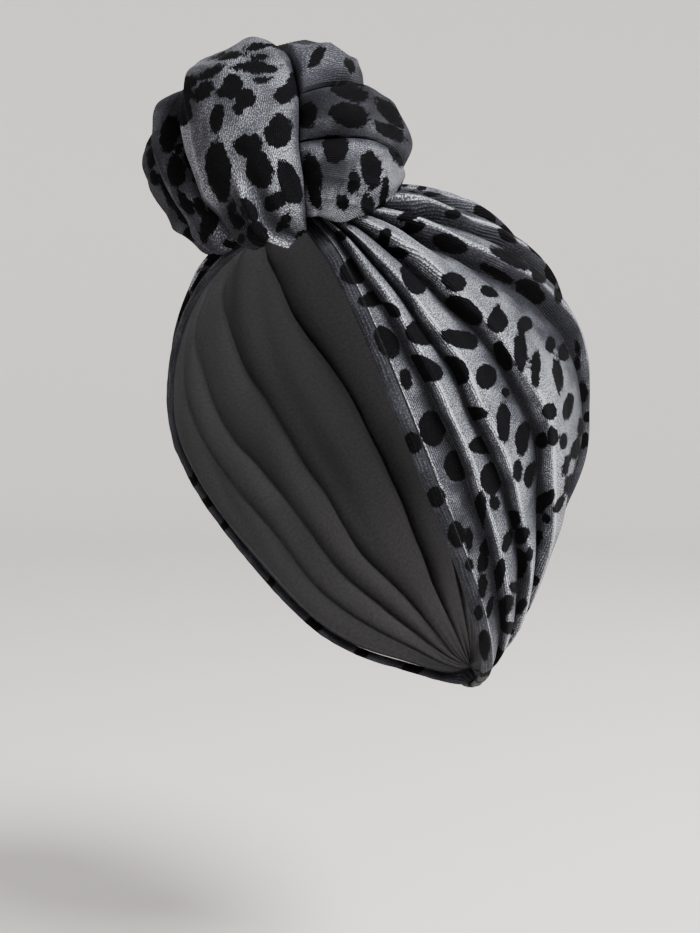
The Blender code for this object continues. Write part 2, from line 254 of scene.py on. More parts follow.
def finishPiece(name, mesh, finishes):
    data = bpy.data.meshes.new(name)
    mesh.to_mesh(data)
    mesh.free()
    data.shade_smooth()
    for finish in finishes:
        data.materials.append(finish)
    piece = bpy.data.objects.new(name, data)
    bpy.context.scene.collection.objects.link(piece)
    return piece


decimetre = 100             # in millimetres; the finishes take their cloth in decimetres

# the printed spots, all sizes in millimetres of cloth
spotPrint = {
    "clear": 9.0,           # what a place far from any spot holds
    "tries": 320,           # random places tried for each square decimetre
    "twins": 0.5,           # share of the random spots that have a second lobe
    "slimness": (0.5, 0.85),    # half the width as a share of half the length
    "lean": 14,             # degrees, how much the random ones differ in their turn
    "lobeShift": 0.8,
    "lobeSize": 0.62,
    "lobeReach": (20, 26),  # no random spot reaches further, across and along
    "chartReach": 18,       # nor a charted one, past half its length, in dots of the photograph
    "seed": 7,
    "space": 1.9,
    "capRandom": (          # from and to, as shares of the way to the nape, and half the length
        (0.0, 0.35, (5.5, 9.5)), (0.0, 0.6, (3.0, 8.0)),
        (0.5, 0.85, (3.0, 6.5)), (0.7, 1.0, (2.0, 4.5)),
    ),
    "knotRandom": (4.5, 11.0),
    "facing": 0.12,         # cloth that turns further away than this gets random spots
    "capEdge": 300,         # and so does the cap left of this in the photograph
    "capShoulder": (400, 190),  # and left of and above this
    "knotCorner": (130, 30),    # where the enlargement starts that the spots were read off
    "knotScale": 5.407,     # and how many of its dots make one of the photograph
    "capCorner": (300, 150),
    "capScale": 2.85,
    "dotSize": 0.42,        # of one dot of the photograph, at the wrap's distance
}


class ClothPrint:
    # how far the nearest spot's edge is, at each place across and along one strip of cloth
    def __init__(self, chart=None):
        self.chart = chart      # gives a column and row in millimetres, for random spots
        self.toSpot = {}

    def at(self, column, row):
        return self.toSpot.get((column, row), spotPrint["clear"])

    def lay(self, places, offset, spot):
        # spot: half its length, half its width and its turn in degrees
        long, wide, turn = spot
        c, s = math.cos(math.radians(turn)), math.sin(math.radians(turn))
        for place in places:
            x, y = offset(place)
            reach = math.hypot((x * c + y * s) / wide, (y * c - x * s) / long)
            distance = (reach - 1) * min(long, wide)
            if distance < self.at(*place):
                self.toSpot[place] = distance

    def scatter(self, columns, rows, sizes, space, draw, allowed):
        # fills what room is left with spots of these sizes
        spots = {place: self.chart(*place) for place in ((c, r) for c in columns for r in rows)}
        wide = max(x for x, y in spots.values()) - min(x for x, y in spots.values())
        tall = max(y for x, y in spots.values()) - min(y for x, y in spots.values())
        shift, (reachX, reachY) = spotPrint["lobeShift"], spotPrint["lobeReach"]
        for _ in range(int(spotPrint["tries"] * wide * tall / decimetre ** 2)):
            centre = (draw.choice(columns), draw.choice(rows))
            long = draw.uniform(*sizes)
            slim, turn = draw.uniform(*spotPrint["slimness"]), draw.gauss(0, spotPrint["lean"])
            if not allowed(*centre) or self.at(*centre) < space + long * slim:
                continue
            x0, y0 = spots[centre]
            near = [
                place for place, (x, y) in spots.items()
                if abs(x - x0) < reachX and abs(y - y0) < reachY
            ]
            lobes = [(0, 0, 1)]
            if draw.random() < spotPrint["twins"]:
                right = draw.uniform(-shift, shift) * long * slim
                ahead = draw.uniform(-shift, shift) * long
                lobes.append((right, ahead, spotPrint["lobeSize"]))
            for right, ahead, size in lobes:
                self.lay(
                    near, lambda place: (spots[place][0] - x0 - right, spots[place][1] - y0 - ahead),
                    (long * size, long * size * slim, turn),
                )


def inPhotograph(point):
    # where a point of the wrap lies in the photograph, in its dots
    right, up, back = viewAxes()
    wide, tall = studio["picture"]
    away = point - aimPoint()
    scale = studio["lens"] / studio["sensor"] * tall / (studio["distance"] - away.dot(back))
    return wide / 2 + scale * away.dot(right), tall / 2 - scale * away.dot(up)


saddlePanel = [pleat[0] for pleat in pleats].index("middle")


def panelColumns():
    # for each column: its panel, its share of the way across it, and whether it is on the rolled edge
    columns = []
    for panel in range(len(pleats) - 1):
        slopeSteps, foldSteps = cap["slopeColumns"], cap["foldColumns"]
        steps = [("slope", (i / slopeSteps) ** cap["crestDraw"]) for i in range(slopeSteps)]
        steps += [("fold", i / foldSteps) for i in range(foldSteps + 1)]
        if panel == saddlePanel:
            saddleSteps = slopeSteps + foldSteps
            steps = [("saddle", i / saddleSteps) for i in range(saddleSteps + 1)]
        elif panel > saddlePanel:
            steps = [(kind, share) for kind, share in reversed(steps)]
        columns += [(panel, kind, share) for kind, share in steps[:-1]]
    columns.append((len(pleats) - 2, *steps[-1]))
    return columns


def crestHeight(pleat, along):
    span, step = cap["waverSpan"]
    waver = 1 + cap["crestWaver"] * ripple(along / span, pleat * step, 1)
    return pleats[pleat][2] * waver


def crestLine(pleat, along):
    # the crest's place with its small wander, which leaves the two edges alone
    place = crestAcross(pleat, along)
    if 0 < pleat < len(pleats) - 1:
        span, step = cap["wanderSpan"]
        degree = max(arcWidth(1, along), arcWidth(1, cap["wanderStart"]))
        place += cap["crestWander"] / degree * ripple(along / span, pleat * step, 2)
    return place


def pleatPlace(column, along):
    # degrees across the fan, and the height over the groove as a share of the pleat height
    panel, kind, share = column
    onLeft = panel < saddlePanel
    low, high = (panel, panel + 1) if onLeft or panel == saddlePanel else (panel + 1, panel)
    start, end = crestLine(low, along), crestLine(high, along)
    if kind == "saddle":
        across, height = curvePoint(saddleCurve, share)
        level = crestHeight(low, along) * (1 - across) + crestHeight(high, along) * across
        return start + (end - start) * across, level * height
    width = arcWidth(abs(end - start), along)
    fold = min(cap["foldShare"], cap["foldWidth"] / width)
    if kind == "slope":
        height = crestHeight(low, along) * (1 - share ** cap["slopeFall"])
        return start + (end - start) * share * (1 - fold), height
    across, height = curvePoint(foldCurve, share)
    return start + (end - start) * (1 - fold + fold * across), crestHeight(high, along) * height


def capPoint(column, along):
    across, height = pleatPlace(column, along)
    direction = fanDirection(along, across)
    radius = capBase(direction, along) + cap["pleatHeight"] * height * pleatGrowth(along)
    pouch = bump(along - cap["pouchPlace"], cap["pouchReach"]) * bump(across, cap["pouchWidth"])
    radius += cap["pouchDepth"] * pouch
    edge = min(abs(across - crestAcross(place, along)) for place in (0, len(pleats) - 1))
    inside = smooth(0, cap["edgeEase"], edge)
    wide, long = cap["softSpan"]
    radius += cap["softFold"] * inside * pleatGrowth(along) * ripple(across / wide, along / long, 3)
    wide, long = cap["gatherSpan"]
    gather = 1 - smooth(*cap["gatherReach"], along)
    radius += cap["gatherHeight"] * gather * inside * ripple(across / wide, along / long, 4)
    wide, long = cap["napeSpan"]
    gather = smooth(*cap["napeReach"], along)
    radius += cap["napeGather"] * gather * inside * ripple(across / wide, along / long, 5)
    return direction, radius


def clothStrip(column):
    # the cloth runs on over a crest and is cut off by the groove behind it
    panel, kind, share = column
    if kind != "fold":
        return panel
    return panel + 1 if panel < saddlePanel else panel - 1


# the cap's painted light and shade: 0 is the painted shade colour, 1 silver, and above that painted glints;
# a pair is a level and what the waver along a fold adds to it
capPaintedLight = {
    "waverSpan": (15, 3.1),     # degrees to a wave, and the step in it from panel to panel
    "saddle": (0.45, 0.2),
    "crest": 1.35,              # painted highlight added on the crest line
    "crestWidth": 0.04,         # share of its panel
    "crestWaver": (0.45, 0.7),
    "slope": (1.15, 1.1),       # times the panel's painted shine by the crest, and the painted shade that takes it down by the groove
    "slopeWaver": (0.8, 0.3),
    "side": (0.1, 0.55),        # the rolled edge's side, held in painted shade: a level, and what the panel's painted shine adds
    "sideReach": (0.22, 0.62),
    "sideWaver": (0.7, 0.5),
    "roll": 0.8,                # painted highlight added where the rolled edge turns over
    "rollReach": (0.8, 1.0),
    "rollWaver": (0.5, 0.6),
}


def capPaintedShine(column, along):
    # painted highlights on the crests and painted shade in the grooves
    panel, kind, share = column
    onLeft = panel < saddlePanel
    low, high = (panel, panel + 1) if onLeft or kind == "saddle" else (panel + 1, panel)
    span, step = capPaintedLight["waverSpan"]
    waver = 0.5 + 0.5 * ripple(along / span, low * step, 8)

    def level(pair, added):
        return capPaintedLight[pair][0] + capPaintedLight[pair][1] * added

    if kind == "saddle":
        return level("saddle", waver)
    if kind == "slope":
        crest = capPaintedLight["crest"] * bump(share, capPaintedLight["crestWidth"]) * level("crestWaver", waver)
        return pleats[low][3] * level("slope", -share ** 2) * level("slopeWaver", waver) + crest
    paintedShine = pleats[high][3]
    side = level("side", paintedShine) * smooth(*capPaintedLight["sideReach"], share) * level("sideWaver", waver)
    roll = (paintedShine + capPaintedLight["roll"]) * smooth(*capPaintedLight["rollReach"], share)
    return side + roll * level("rollWaver", waver)


def laySpots(chart, spots, points, rows, window, centre):
    # each spot goes on the strip whose visible place is nearest, and its shape is as it was read
    corner, scale = spotPrint[window + "Corner"], spotPrint[window + "Scale"]
    view = viewAxes()[2]
    seen = {}
    for strip, (cloth, own) in spots.items():
        for column in own:
            for row in range(rows + 1):
                point = points[column, row][0]
                if (point - centre).normalized().dot(view) > 0:
                    seen.setdefault(strip, {})[column, row] = inPhotograph(point)
    dot = spotPrint["dotSize"]
    for x, y, long, wide, turn in chart:
        x, y, long, wide = corner[0] + x / scale, corner[1] + y / scale, long / scale, wide / scale

        def farAway(strip):
            return min(math.hypot(a - x, b - y) for a, b in seen[strip].values())

        best, reach = min(seen, key=farAway), long + spotPrint["chartReach"]
        near = {
            place: (a - x, b - y) for place, (a, b) in seen[best].items()
            if abs(a - x) < reach and abs(b - y) < reach
        }
        spot = (long * dot, wide * dot, turn)
        spots[best][0].lay(near, lambda place: (near[place][0] * dot, near[place][1] * dot), spot)


# spots that the photograph shows, read off enlargements: place, half length, half width,
# and the lean of the long way from upright, clockwise in degrees
capSpots = (
    (110, 247, 26, 13, 70), (155, 345, 42, 36, 60), (240, 255, 34, 15, 20), (272, 292, 32, 14, 100),
    (325, 360, 52, 33, -20), (215, 422, 48, 20, 75), (255, 456, 32, 17, 110), (346, 522, 46, 33, 105),
    (248, 548, 48, 28, -30), (345, 622, 62, 32, 110), (302, 655, 30, 15, -10), (376, 795, 48, 36, -10),
    (323, 835, 30, 21, -15), (447, 900, 42, 35, 0), (388, 990, 28, 26, 0), (458, 540, 52, 23, 105),
    (445, 628, 44, 32, -40), (530, 646, 34, 28, 0), (578, 587, 40, 20, -25), (440, 376, 34, 24, 115),
    (468, 457, 56, 30, 125), (538, 404, 24, 15, 110), (563, 488, 32, 27, 0), (641, 495, 20, 19, 0),
    (628, 575, 52, 18, -4), (672, 622, 46, 12, 0), (713, 556, 22, 13, 0), (752, 575, 24, 14, 0),
    (735, 642, 46, 12, -5), (806, 690, 26, 12, 0), (764, 733, 36, 12, 8), (712, 745, 22, 20, 0),
    (720, 818, 26, 14, 0), (752, 830, 22, 8, 5), (586, 690, 12, 9, 0), (560, 455, 8, 14, 100),
    (580, 774, 58, 18, 0), (487, 752, 46, 18, 92), (527, 840, 44, 25, 85), (635, 822, 46, 18, 10),
    (690, 827, 20, 16, 0), (545, 936, 43, 30, 0), (655, 925, 36, 13, 12), (620, 915, 26, 11, 0),
    (512, 1030, 54, 15, 3), (555, 1006, 18, 11, 0), (605, 1055, 26, 20, 20), (690, 1003, 40, 19, 50),
    (702, 1052, 14, 11, 0), (445, 1095, 36, 23, -10), (481, 1105, 26, 9, 0), (533, 1130, 30, 17, 25),
    (520, 1178, 26, 13, 10), (590, 1115, 28, 10, 15), (630, 1100, 26, 18, 40), (622, 1177, 38, 25, 0),
    (565, 1215, 46, 14, 15), (520, 1240, 30, 11, 5), (611, 1246, 15, 12, 0), (482, 1182, 16, 11, 0),
    (585, 1300, 34, 19, 25), (630, 1300, 22, 11, 30), (541, 1300, 24, 7, 5), (525, 1410, 38, 15, 0),
    (600, 1362, 16, 22, 0), (575, 1345, 14, 8, 0), (510, 1322, 18, 10, 0), (295, 137, 36, 16, 75),
    (435, 183, 20, 13, 80), (527, 192, 38, 22, -40), (588, 243, 30, 12, -55), (312, 186, 34, 13, 70),
    (322, 222, 34, 14, 75), (425, 266, 48, 23, 110), (600, 310, 56, 15, 118), (681, 343, 38, 21, -20),
    (655, 405, 44, 30, -50), (560, 352, 44, 12, 120), (738, 410, 22, 11, 0), (790, 562, 20, 7, -10),
    (790, 612, 18, 7, 0), (800, 790, 26, 8, 5), (785, 852, 26, 12, 10), (757, 902, 28, 9, 10),
    (767, 950, 26, 11, 20), (779, 442, 15, 7, 0), (350, 106, 13, 7, 80), (300, 96, 9, 8, 0),
    (376, 126, 16, 5, 95), (737, 1010, 26, 9, 25), (676, 1110, 24, 9, 20), (655, 1150, 18, 8, 10),
)


def clothDraw(degrees, ends, exponent):
    # how much of its width the cloth keeps, which is least at the two ends
    inner = min(max(degrees, ends), 180 - ends)
    return math.sin(math.radians(inner)) ** exponent


def makeCap(finishes):
    columns = panelColumns()
    rows = cap["rows"]
    halfway = [direction * radius for direction, radius in (capPoint(column, 90) for column in columns)]
    run = [0.0]         # metres of cloth up to each column
    for a, b in zip(halfway, halfway[1:]):
        run.append(run[-1] + (b - a).length)
    strips = [clothStrip(column) for column in columns]
    stripMiddle = {}
    for strip in set(strips):
        inside = [run[i] for i, own in enumerate(strips) if own == strip]
        stripMiddle[strip] = (min(inside) + max(inside)) / 2

    def alongAt(row):
        return cap["start"] + (cap["end"] - cap["start"]) * row / rows

    points = {}
    for column in range(len(columns)):
        for row in range(rows + 1):
            direction, radius = capPoint(columns[column], alongAt(row))
            points[column, row] = (middle + direction * radius, middle + direction * (radius - cap["wall"]))

    def stripAt(first):
        # a face belongs to its slope's strip where it meets a groove
        ahead = columns[min(first + 1, len(columns) - 1)]
        return strips[first + 1] if columns[first][1] == "fold" and ahead[1] == "slope" else strips[first]

    def clothPlace(strip, column, row):
        # millimetres across the strip and along it
        along = alongAt(row)
        drawn = clothDraw(along, *cap["drawnEnds"])
        across = stripMiddle[strip] + strip * cap["stripShift"] + (run[column] - stripMiddle[strip]) * drawn
        return across * 1000, math.radians(along) * cap["clothRun"]

    spots = {}
    for strip in sorted(set(strips)):
        own = [i for i in range(len(columns)) if strips[i] == strip]
        own = sorted({i + step for i in own for step in (-1, 0, 1)} & set(range(len(columns))))
        spots[strip] = (ClothPrint(lambda column, row, strip=strip: clothPlace(strip, column, row)), own)
    laySpots(capSpots, spots, points, rows, "cap", middle)
    draw = random.Random(spotPrint["seed"])
    view = viewAxes()[2]

    def unseen(column, row):
        x, y = inPhotograph(points[column, row][0])
        facing = (points[column, row][0] - middle).normalized().dot(view)
        right, under = spotPrint["capShoulder"]
        return facing < spotPrint["facing"] or x < spotPrint["capEdge"] or (x < right and y < under)

    for cloth, own in spots.values():
        # small spots towards the back and the nape
        for low, high, sizes in spotPrint["capRandom"]:
            some = range(int(rows * low), int(rows * high) + 1)
            cloth.scatter(own, some, sizes, spotPrint["space"], draw, unseen)

    def chart(column, row, first):
        return [part / decimetre for part in clothPlace(stripAt(first), column, row)]

    def marks(column, row, first):
        return spots[stripAt(first)][0].at(column, row), capPaintedShine(columns[column], alongAt(row))

    piece = layCloth(
        "pleatedCap", len(columns) - 1, rows, lambda column, row: points[column, row],
        chart, marks, finishes, 1,
    )
    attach(piece, "root")
    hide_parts("pleated_cap")
    print("cap laid in", len(pleats) - 1, "panels")
    return piece


# the rolled hem round the face opening
hem = {
    "width": 0.0055,
    "thick": 0.003,
    "gap": 0.0004,
    "steps": 190,
    "sides": 18,
    "ease": 0.35,
    "pucker": 0.0003,
    "puckerSpan": (160, 2), # waves to a metre, and over its width
    "squareness": 0.75,     # exponent of its oval section, lower is squarer
    "tipSwell": 0.95,       # the two sides are drawn into one thick end at the nape
    "tipReach": 0.007,
    "spotSizes": (0.0014, 0.0042),
    "spotSpace": 0.021,
    "spotGaps": (0.4, 1.8), # times that space
    "spotLean": 0.4,
    "clothRound": 24,       # decimetres of cloth round it to a metre of its width
    # painted shine of the whole hem: one low painted light level, so the hem is painted in shade
    "paintedShine": 0.24,
}


def openingMiddle(along):
    left = crestAcross(0, along)
    right = crestAcross(len(pleats) - 1, along) + 360
    return (left + right) / 2, (right - left) / 2


def hemPoint(along, side):
    centre, half = openingMiddle(along)
    edge = centre - side * half
    radius = capBase(fanDirection(along, edge), along) * math.sin(math.radians(along))
    apart = hem["width"] / 2 + hem["gap"]
    turn = min(half, math.degrees(math.asin(min(1.0, apart / radius))))
    direction = fanDirection(along, edge + side * turn)
    height = cap["pleatHeight"] * pleats[0][2] * pleatGrowth(along)
    return middle + direction * (capBase(direction, along) + height - hem["thick"] / 2)


def hemEnd(along):
    centre, half = openingMiddle(along)
    apart = hem["width"] / 2 + hem["gap"]
    reach = capBase(fanDirection(along, centre), along)
    return math.degrees(math.asin(apart / math.sin(math.radians(half)) / reach))


def makeHem(finishes):
    brow, nape = hemEnd(cap["start"]), 180 - hemEnd(cap["end"])
    shares = [i / hem["steps"] for i in range(hem["steps"] + 1)]
    eased = [share + hem["ease"] * (smooth(0, 1, share) - share) for share in shares]
    alongs = [brow + (nape - brow) * share for share in eased]
    path = [hemPoint(along, 1) for along in alongs]
    path += [hemPoint(along, -1) for along in reversed(alongs[1:-1])]
    mesh = bmesh.new()
    rings, places, points, reach = [], {}, {}, 0.0
    for i, point in enumerate(path):
        ahead = (path[(i + 1) % len(path)] - path[i - 1]).normalized()
        outward = (point - middle).normalized()
        outward = (outward - ahead * outward.dot(ahead)).normalized()
        sideways = ahead.cross(outward)
        reach += (point - path[i - 1]).length if i else 0.0
        ring = []
        swell = 1 + hem["tipSwell"] * bump((point - path[len(alongs) - 1]).length, hem["tipReach"])
        for k in range(hem["sides"]):
            turn = math.tau * (k + 0.5) / hem["sides"]
            c, s = math.cos(turn), math.sin(turn)
            wide = math.copysign(abs(c) ** hem["squareness"], c) * hem["width"] / 2
            tall = math.copysign(abs(s) ** hem["squareness"], s) * hem["thick"] / 2
            waves, over = hem["puckerSpan"]
            tall += hem["pucker"] * ripple(reach * waves, c * over, 6) * max(0, s)
            vert = mesh.verts.new(point + (sideways * wide + outward * tall) * swell)
            places[vert] = (k, i, reach)
            points[k, i] = (vert.co.copy(), )
            ring.append(vert)
        rings.append([mesh.edges.new((ring[k - 1], ring[k])) for k in range(hem["sides"])])
    for i, ring in enumerate(rings):
        bmesh.ops.bridge_loops(mesh, edges=rings[i - 1] + ring)
    bmesh.ops.recalc_face_normals(mesh, faces=mesh.faces[:])
    layer = mesh.loops.layers.uv.new("cloth")
    toSpot = mesh.loops.layers.float.new("toSpot")
    paintedShine = mesh.loops.layers.float.new("paintedShine")
    whole = reach + (path[0] - path[-1]).length
    draw = random.Random(spotPrint["seed"] + 2)
    spots, place = [], 0.0
    while place < whole - hem["spotSpace"]:
        half = draw.uniform(*hem["spotSizes"])
        spots.append((place + half, half, draw.uniform(-hem["spotLean"], hem["spotLean"])))
        place += 2 * half + draw.uniform(*hem["spotGaps"]) * hem["spotSpace"]
    seen = ClothPrint()
    laySpots(capSpots, {"hem": (seen, range(hem["sides"]))}, points, len(path) - 1, "cap", middle)
    view = viewAxes()[2]
    for face in mesh.faces:
        turns = [places[vert][0] for vert in face.verts]
        spans = [places[vert][2] for vert in face.verts]
        for loop in face.loops:
            k, i, span = places[loop.vert]
            facing = (loop.vert.co - middle).normalized().dot(view)
            printed = seen.at(k, i)
            k += hem["sides"] if k == 0 and max(turns) == hem["sides"] - 1 else 0
            span += whole if span == 0 and max(spans) > whole / 2 else 0
            loop[layer].uv = (k / hem["sides"] * hem["width"] * hem["clothRound"], span * 10)
            slant = math.cos(math.tau * (k + 0.5) / hem["sides"])
            nearest = min(abs(span + lean * slant * half - place) - half for place, half, lean in spots)
            guessed = min(spotPrint["clear"], nearest * 1000)
            loop[toSpot] = printed if facing > spotPrint["facing"] else guessed
            loop[paintedShine] = hem["paintedShine"]
    piece = finishPiece("faceHem", mesh, finishes)
    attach(piece, "root")
    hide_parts("face_hem")
    print("hem rolled,", round(whole, 3), "m round")
    return piece


# the wound knot
knot = {
    "width": 0.108,
    "height": 0.094,
    "lean": 28,
    "stand": 0.026,
    "core": 0.5,
    "creaseDepth": 0.0085,
    "rollGap": 0.0009,
    "seatGap": 0.0007,
    "endRounding": 14,
    "pinchTurn": 83,
    "pinchDrop": 59,
    "creaseTurn": 62,
    "creaseRise": 4,
    "near": 4.0,
    "far": 172.0,
    "rows": 130,
    "flatInside": 6,        # exponent by which the small folds stop at a crease
    "crumple": 0.0009,
    "crumpleSpan": (24, 16),    # degrees to a wave, round the pinch and away from it
    "drag": 0.0011,         # soft folds that run away from the pinch
    "dragSpan": (15, 50),
    "gather": 0.0011,
    "gatherSpan": (7.0, 40),
    "gatherReach": (14, 66),
    "laidRise": 1.5,        # exponent of the rise of a laid fold
    "laidEdge": 0.93,       # share of its way at which it starts to drop
    "drawnEnds": (12, 0.6),
    "seatSteps": 10,
    "creaseFade": 0.65,     # share of the long crease's depth that is lost over the top
    "fadeReach": (94, 122),
    "fadeWidth": 42,
    "frontSag": 0.006,      # how far the front loop hangs over the brow
    "sagPlace": 34,
    "sagReach": 24,
    "dents": (              # seen from the front: degrees clockwise from the top, depth, reach in degrees
        (10, 0.0062, 19), (-18, 0.0024, 12), (-37, 0.0058, 13), (-60, 0.0100, 12),
    ),
}

# turns about the pinch of the long creases, at each angle away from it, in degrees
creaseAways = (7, 28, 42, 56, 70, 85, 98, 116, 140, 172)
creases = {
    "frontStart": (10, 8, 5, 3, -1, -5, -8, -10, -12, -14),
    "frontEnd": (125, 112, 86, 73, 66, 63, 61, 58, 56, 56),
    "sideEnd": (160, 148, 124, 101, 89, 84, 82, 82, 82, 84),
    "underEnd": (200, 188, 165, 138, 122, 116, 114, 113, 113, 116),
}

# how far the two rolls behind the long crease reach from the pinch, at shares of their way round
windingShares = (0.0, 0.12, 0.25, 0.5, 0.75, 1.0)
windings = {
    "lowerStart": (15, 15, 14, 11, 8, 6),
    "lowerTop": (60, 62, 64, 70, 77, 82),
    "upperTop": (88, 99, 111, 127, 135, 140),
}

# each fold of the knot: the size in degrees and the height of its small creases, the cloth across
# and along it in millimetres, the solid it stands for, its columns, where it starts and ends across,
# the exponent of its rounding, how proud it stands, its painted shine (painted light and shade) at the
# start, a quarter and the end, where its own laid folds drop and by how much, and its spots, read off as
# the cap's are
knotFolds = (
    {"name": "knotFrontLoop", "ridge": (34, 90), "ridgeHeight": 0.0008,
     "span": 86, "solid": "knot_front_loop", "columns": 110, "loop": True,
     "first": "frontStart", "last": "frontEnd", "roundness": 4, "swell": 0.0,
     "paintedShine": (0.45, 0.8, 0.5),
     "drops": ((0.84, 0.83, 0.80, 0.0016), ),
     "spots": (
         (545, 140, 78, 20, 82), (715, 147, 46, 13, 84), (682, 203, 112, 28, 92), (715, 272, 50, 17, 80),
         (556, 300, 66, 52, 10), (622, 372, 56, 50, -40), (530, 335, 58, 30, 80), (592, 425, 36, 26, 0),
         (470, 480, 74, 34, 8), (905, 290, 78, 56, 20), (832, 350, 56, 40, 60), (805, 550, 92, 68, 20),
         (478, 745, 142, 68, -6), (500, 860, 66, 40, 10), (640, 622, 72, 58, 70), (700, 755, 98, 72, -10),
         (860, 820, 118, 52, -22), (790, 925, 66, 42, 50), (830, 1045, 26, 50, -60),
         (643, 975, 62, 36, -20),
         (552, 965, 48, 20, 12), (582, 1040, 40, 32, -30), (690, 1105, 64, 52, -20), (600, 1130, 26, 17, 0),
         (310, 292, 66, 32, 55), (438, 228, 68, 22, 62), (395, 335, 58, 38, 50), (292, 365, 62, 36, 30),
         (290, 452, 56, 42, 10), (684, 92, 46, 14, 80), (842, 88, 70, 14, 95), (940, 1112, 40, 26, 60),
     )},
    {"name": "knotSideLoop", "ridge": (13, 90), "ridgeHeight": 0.0014,
     "span": 40, "solid": "knot_side_loop", "columns": 64, "loop": True,
     "first": "frontEnd", "last": "sideEnd", "roundness": 2.6, "swell": 0.12,
     "paintedShine": (0.12, 0.4, 0.35),
     "drops": ((0.40, 0.46, 0.5, 0.0016), ),
     "spots": (
         (212, 565, 92, 50, 8), (250, 762, 82, 50, -8), (318, 700, 72, 18, -12), (408, 880, 50, 9, -12),
         (300, 935, 70, 24, -25), (430, 1040, 100, 38, 20), (262, 640, 26, 14, 0), (385, 960, 50, 26, -25),
         (700, 1213, 44, 20, 95), (560, 1170, 44, 14, 110),
     )},
    {"name": "knotUnderLoop", "ridge": (13, 90), "ridgeHeight": 0.0012,
     "span": 42, "solid": "knot_under_loop", "columns": 64, "loop": True,
     "first": "sideEnd", "last": "underEnd", "roundness": 2.6, "swell": 0.12,
     "paintedShine": (0.3, 0.32, 0.35),
     "drops": ((0.34, 0.42, 0.4, 0.0014), (0.68, 0.72, 0.7, 0.0014)),
     "spots": (
         (112, 580, 52, 30, 10), (112, 690, 58, 22, 0), (200, 450, 36, 20, 50), (215, 870, 112, 34, -22),
         (130, 800, 40, 20, -15), (322, 1105, 36, 32, -50), (290, 1010, 48, 22, -35),
     )},
    {"name": "knotLowerRoll", "ridge": (60, 15), "ridgeHeight": 0.0014,
     "span": 48, "run": 250, "solid": "knot_lower_roll", "columns": 90, "loop": False,
     "first": "lowerStart", "last": "lowerTop", "roundness": 4, "swell": 0.0,
     "paintedShine": (0.42, 0.95, 0.5),
     "drops": (),
     "spots": (
         (1110, 635, 92, 64, 0), (1302, 755, 104, 52, -8), (1213, 822, 64, 31, 4), (1150, 932, 38, 30, 0),
         (1285, 952, 56, 33, -5), (1372, 890, 94, 17, 8), (985, 770, 92, 46, -15), (1000, 900, 62, 34, -15),
         (1445, 650, 84, 40, -20),
     )},
    {"name": "knotUpperRoll", "ridge": (60, 13), "ridgeHeight": 0.0013,
     "span": 48, "run": 230, "solid": "knot_upper_roll", "columns": 72, "loop": False,
     "first": "lowerTop", "last": "upperTop", "roundness": 3, "swell": 0.08,
     "paintedShine": (0.24, 0.34, 0.42),
     "drops": (),
     "spots": (
         (1178, 328, 108, 42, 112), (1188, 460, 100, 62, 105), (1232, 272, 46, 30, -40),
         (1400, 440, 92, 40, -45), (1405, 552, 84, 34, 118), (962, 462, 72, 46, 10),
         (1095, 600, 60, 30, 90),
     )},
    {"name": "knotTopTuck", "ridge": (26, 15), "ridgeHeight": 0.0014,
     "span": 70, "run": 170, "solid": "knot_top_tuck", "columns": 64, "loop": False,
     "first": "upperTop", "last": None, "roundness": 3, "swell": 0.35,
     "paintedShine": (0.3, 0.36, 0.36),
     "drops": (),
     "spots": (
         (1010, 150, 60, 26, 30), (1190, 195, 40, 20, -30),
     )},
)

# the folded lip across the front loop, at angles away from the pinch
lipAways = (7, 20, 43, 56)
lip = {
    "across": (0.36, 0.37, 0.46, 0.49),
    "rise": (0.4, 1.0, 1.0, 0.0),
    "height": 0.0042,
    "width": 0.05,
    "under": 0.0056,        # how far the cloth below it lies in
    "fall": (0.0, 0.17),
}
rollSeam = {
    "sides": {"knotLowerRoll": 1, "knotUpperRoll": 0},
    "loss": 0.7,
    "reach": (0.06, 0.2),   # share of the way round over which it dies away
    "near": (0.5, 0.9),
}
tuck = {"depth": 0.012, "reach": (40, 108)}     # the under loop is drawn in towards the pinch


def knotMiddle():
    lean = math.radians(knot["lean"])
    direction = Vector((0, -math.sin(lean), math.cos(lean)))
    return middle + direction * (hollowRadius(direction) + knot["stand"])


def turned(turn, rise):
    turn, rise = math.radians(turn), math.radians(rise)
    level = Vector((math.sin(turn), -math.cos(turn), 0))
    return level * math.cos(rise) + Vector((0, 0, math.sin(rise)))


pinch = turned(knot["pinchTurn"], -knot["pinchDrop"])
longCrease = turned(knot["creaseTurn"], knot["creaseRise"])
longCrease = (longCrease - pinch * longCrease.dot(pinch)).normalized()
crossCrease = pinch.cross(longCrease)


def knotDirection(away, turn):
    away, turn = math.radians(away), math.radians(turn)
    ring = longCrease * math.cos(turn) + crossCrease * math.sin(turn)
    return pinch * math.cos(away) + ring * math.sin(away)


def aboveCap(point):
    reach = point - middle
    direction = reach.normalized()
    along = fanAlong(direction)
    crest = cap["pleatHeight"] * pleatGrowth(along)
    return reach.length > capBase(direction, along) + crest + knot["seatGap"]


def knotPoint(centre, direction, depth):
    # on the knot's oval, or drawn in along its line until it rests on the cap
    wide, tall = knot["width"], knot["height"]
    reach = Vector((direction.x * wide, direction.y * wide, direction.z * tall)) / 2
    reach -= reach.normalized() * depth
    if aboveCap(centre + reach):
        return centre + reach
    near, far = 0.0, 1.0
    for _ in range(knot["seatSteps"]):
        share = (near + far) / 2
        if aboveCap(centre + reach * share):
            near = share
        else:
            far = share
    return centre + reach * near


def dentDepth(direction):
    # how far the knot's outline lies in from a plain oval
    right, up, back = viewAxes()
    depth = 0.0
    for turn, deep, reach in knot["dents"]:
        towards = right * math.sin(math.radians(turn)) + up * math.cos(math.radians(turn))
        depth += deep * bump(math.degrees(towards.angle(direction)), reach)
    return depth


def halfGap(away):
    width = knot["width"] / 2 * math.sin(math.radians(away))
    return math.degrees(knot["rollGap"] / 2 / width)


